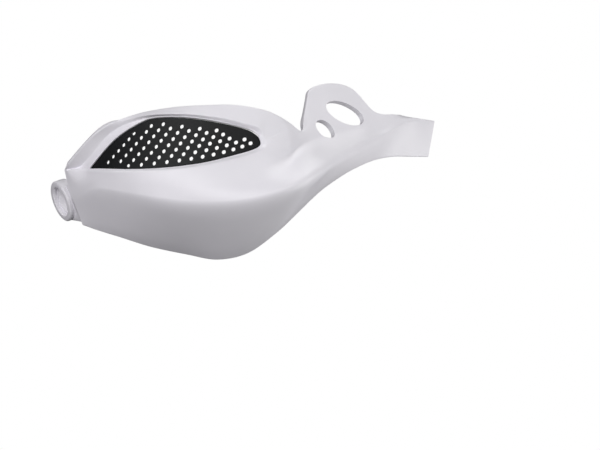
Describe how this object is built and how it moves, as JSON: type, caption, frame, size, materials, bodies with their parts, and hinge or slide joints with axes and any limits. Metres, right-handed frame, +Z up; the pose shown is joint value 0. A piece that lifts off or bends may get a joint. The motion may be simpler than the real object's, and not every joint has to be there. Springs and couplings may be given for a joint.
{
  "type": "motorcycle hand guard",
  "caption": "Moulded handlebar hand guard with a bar-end eye, an outboard dished shell with a recessed perforated vent panel, a holed wing and a bolted channel arm.",
  "frame": {"origin": "centre of the outer face of the bar-end eye", "axes": "+X inboard along the bar-end bore, +Y towards the rider, +Z up"},
  "size_m": [0.2375, 0.1368, 0.0881],
  "materials": {
    "shell": "satin",
    "panel": "matte"
  },
  "bodies": {
    "root": {"guard_shell": "shell", "vent_panel": "panel"}
  },
  "joints": []
}
